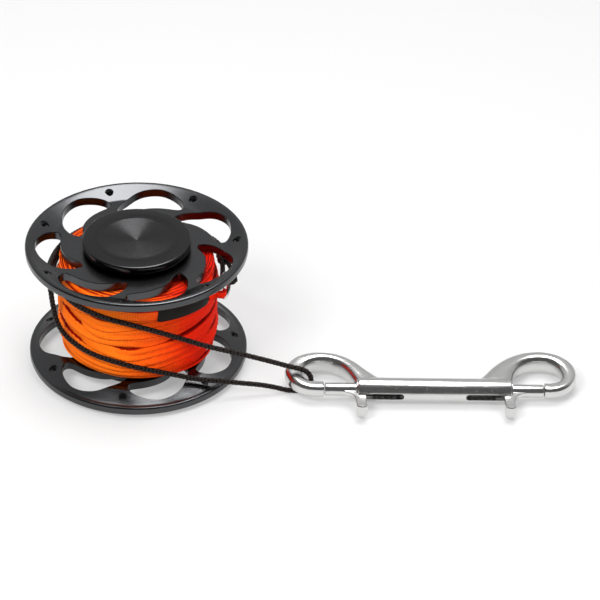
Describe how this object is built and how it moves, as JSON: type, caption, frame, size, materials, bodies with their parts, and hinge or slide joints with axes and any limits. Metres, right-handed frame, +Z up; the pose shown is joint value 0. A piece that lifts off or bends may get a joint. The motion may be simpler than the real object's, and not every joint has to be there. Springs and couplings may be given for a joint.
{
  "type": "finger spool",
  "caption": "Finger spool for dive line: pierced black flanges, finger caps that spin on bearings, wound flat orange line, and a double-ended steel clip held by a cord.",
  "frame": {"origin": "centre of the lower finger cap's flat outer face, on the spool's axis, at the height of the ground it stands on", "axes": "+Z up along the spool's axis, +X towards the snap, +Y away from the picture's camera"},
  "size_m": [0.2212, 0.088, 0.0563],
  "materials": {
    "black_anodised": "satin black anodised, with a fine turned grain",
    "black_turned_cap": "black anodised, turned face",
    "stainless_steel": "cast and polished stainless",
    "bearing_steel": "ground bright",
    "orange_line": "flat woven braid, fluorescent orange",
    "black_cord": "round black braid",
    "black_sleeve": "black shrink sleeve"
  },
  "bodies": {
    "spool": {"upper_flange": "black_anodised", "lower_flange": "black_anodised", "hub_drum": "black_anodised", "upper_flange_screw_1": "stainless_steel", "upper_flange_screw_2": "stainless_steel", "upper_flange_screw_3": "stainless_steel", "upper_flange_screw_4": "stainless_steel", "lower_flange_screw_1": "stainless_steel", "lower_flange_screw_2": "stainless_steel", "lower_flange_screw_3": "stainless_steel", "lower_flange_screw_4": "stainless_steel", "upper_bearing_outer_race": "bearing_steel", "lower_bearing_outer_race": "bearing_steel", "line_core": "orange_line", "line_outer_layer": "orange_line", "line_sleeve": "black_sleeve", "line_end_loop": "orange_line", "steel_ring": "stainless_steel", "cord_knot": "black_cord", "cord_loop": "black_cord", "snap_body": "stainless_steel", "gate_spring_left": "stainless_steel", "gate_spring_right": "stainless_steel"},
    "finger_hold": {"upper_finger_cap": "black_turned_cap", "lower_finger_cap": "black_turned_cap", "axle": "stainless_steel", "axle_spacer": "stainless_steel", "upper_bearing_inner_race": "bearing_steel", "lower_bearing_inner_race": "bearing_steel"},
    "upper_balls": {"upper_ball_cage": "bearing_steel"},
    "lower_balls": {"lower_ball_cage": "bearing_steel"},
    "gate_left": {"gate_bolt_left": "stainless_steel"},
    "gate_right": {"gate_bolt_right": "stainless_steel"}
  },
  "joints": [
    {"name": "finger_hold_spin", "type": "hinge", "parent": "spool", "child": "finger_hold", "pos_m": [0, 0, 0.02815], "axis": [0, 0, 1], "continuous": true},
    {"name": "upper_balls_spin", "type": "hinge", "parent": "spool", "child": "upper_balls", "pos_m": [0, 0, 0.0438], "axis": [0, 0, 1], "continuous": true},
    {"name": "lower_balls_spin", "type": "hinge", "parent": "spool", "child": "lower_balls", "pos_m": [0, 0, 0.0125], "axis": [0, 0, 1], "continuous": true},
    {"name": "gate_left_slide", "type": "slide", "parent": "spool", "child": "gate_left", "axis": [0.9989, 0.0466, -0.0087], "range_m": [0, 0.014], "stiffness_N_per_m": 300, "springref_m": -0.006, "deforming": ["gate_spring_left"]},
    {"name": "gate_right_slide", "type": "slide", "parent": "spool", "child": "gate_right", "axis": [-0.9989, -0.0466, 0.0087], "range_m": [0, 0.014], "stiffness_N_per_m": 300, "springref_m": -0.006, "deforming": ["gate_spring_right"]}
  ],
  "couplings": [
    {"joint": "upper_balls_spin", "follows": "finger_hold_spin", "ratio": 0.3733},
    {"joint": "lower_balls_spin", "follows": "finger_hold_spin", "ratio": 0.3733}
  ]
}
